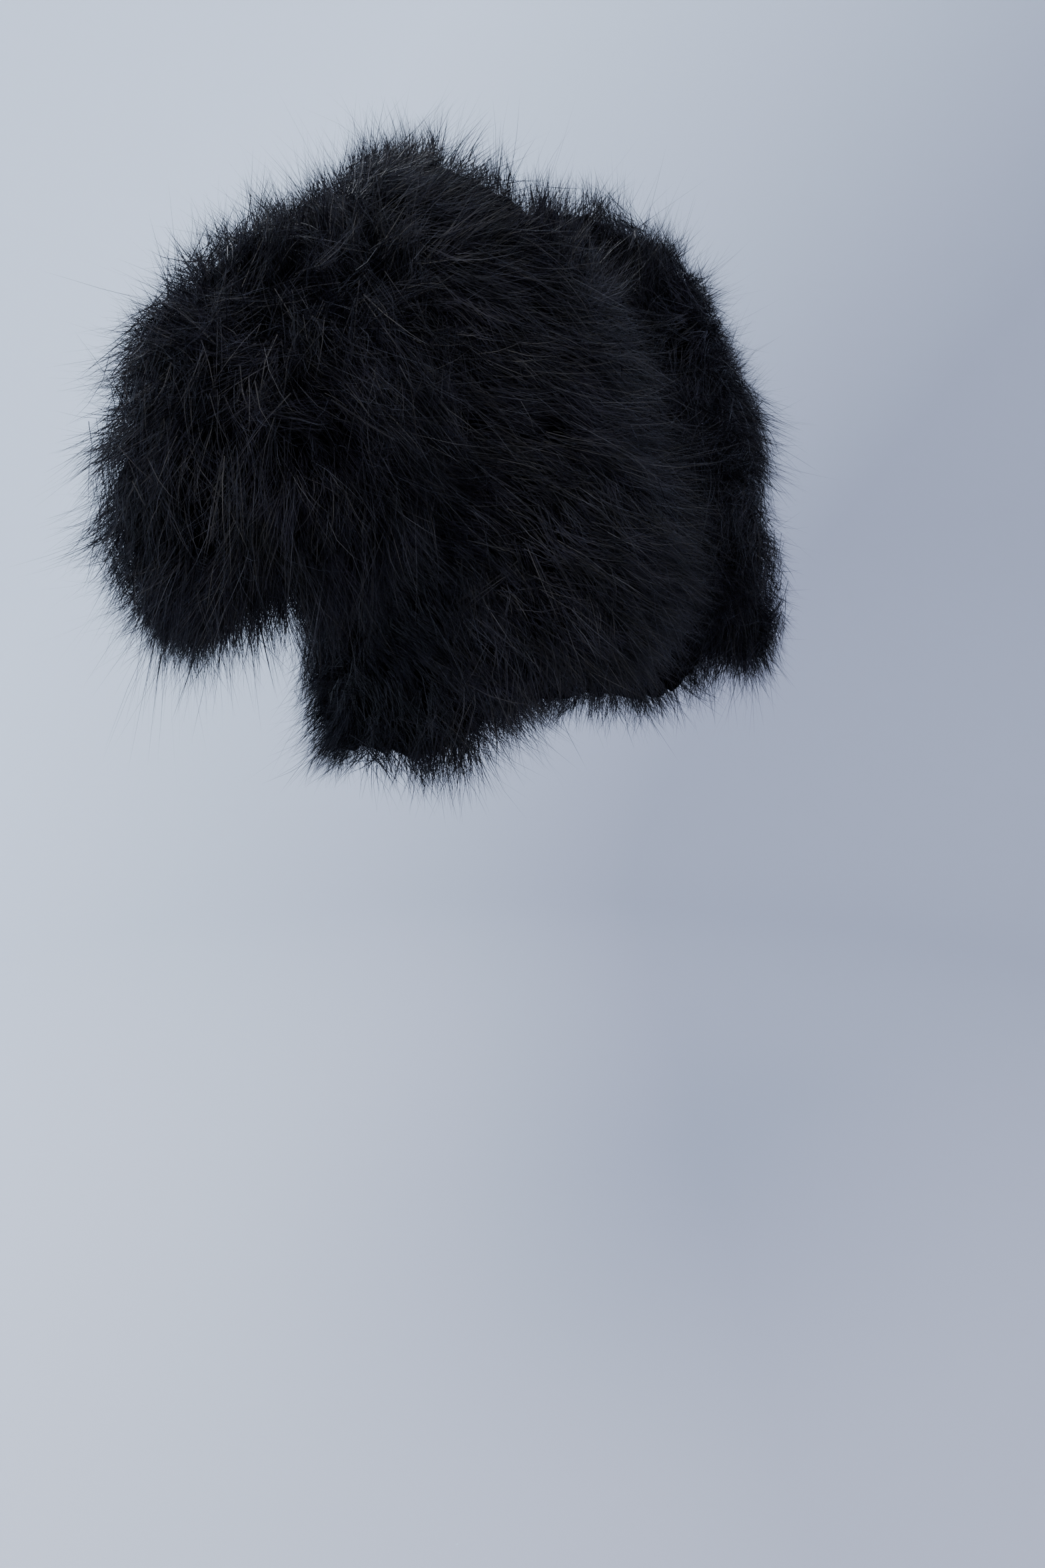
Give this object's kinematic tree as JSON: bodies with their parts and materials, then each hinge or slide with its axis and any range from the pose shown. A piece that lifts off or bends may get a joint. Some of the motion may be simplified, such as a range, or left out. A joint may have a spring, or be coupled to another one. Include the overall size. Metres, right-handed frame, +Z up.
{
  "type": "marabou feather bolero",
  "caption": "Short-sleeved cropped open-front jacket of marabou feather rows sewn on a base cloth, in its worn hollow shape, open at neck, hem, front and cuffs.",
  "frame": {"origin": "middle of the back neckline, on the inside of the cloth, where the wearer's nape carries the garment", "axes": "+Z up, -Y to the front of the wearer, +X to the wearer's left"},
  "size_m": [0.6576, 0.3321, 0.4355],
  "materials": {
    "marabou": "soft black down with a faint blue-grey sheen",
    "base_cloth": "matt black woven lining"
  },
  "bodies": {
    "root": {"left_front": "base_cloth", "right_front": "base_cloth", "back": "base_cloth", "left_sleeve": "base_cloth", "right_sleeve": "base_cloth", "left_front_row_side": "marabou", "right_front_row_side": "marabou", "left_front_row_middle": "marabou", "right_front_row_middle": "marabou", "left_front_row_edge": "marabou", "right_front_row_edge": "marabou", "back_row_hem": "marabou", "back_row_lower": "marabou", "back_row_upper": "marabou", "back_row_neck": "marabou", "left_sleeve_row_cap": "marabou", "right_sleeve_row_cap": "marabou", "left_sleeve_row_cuff": "marabou", "right_sleeve_row_cuff": "marabou"}
  },
  "joints": []
}
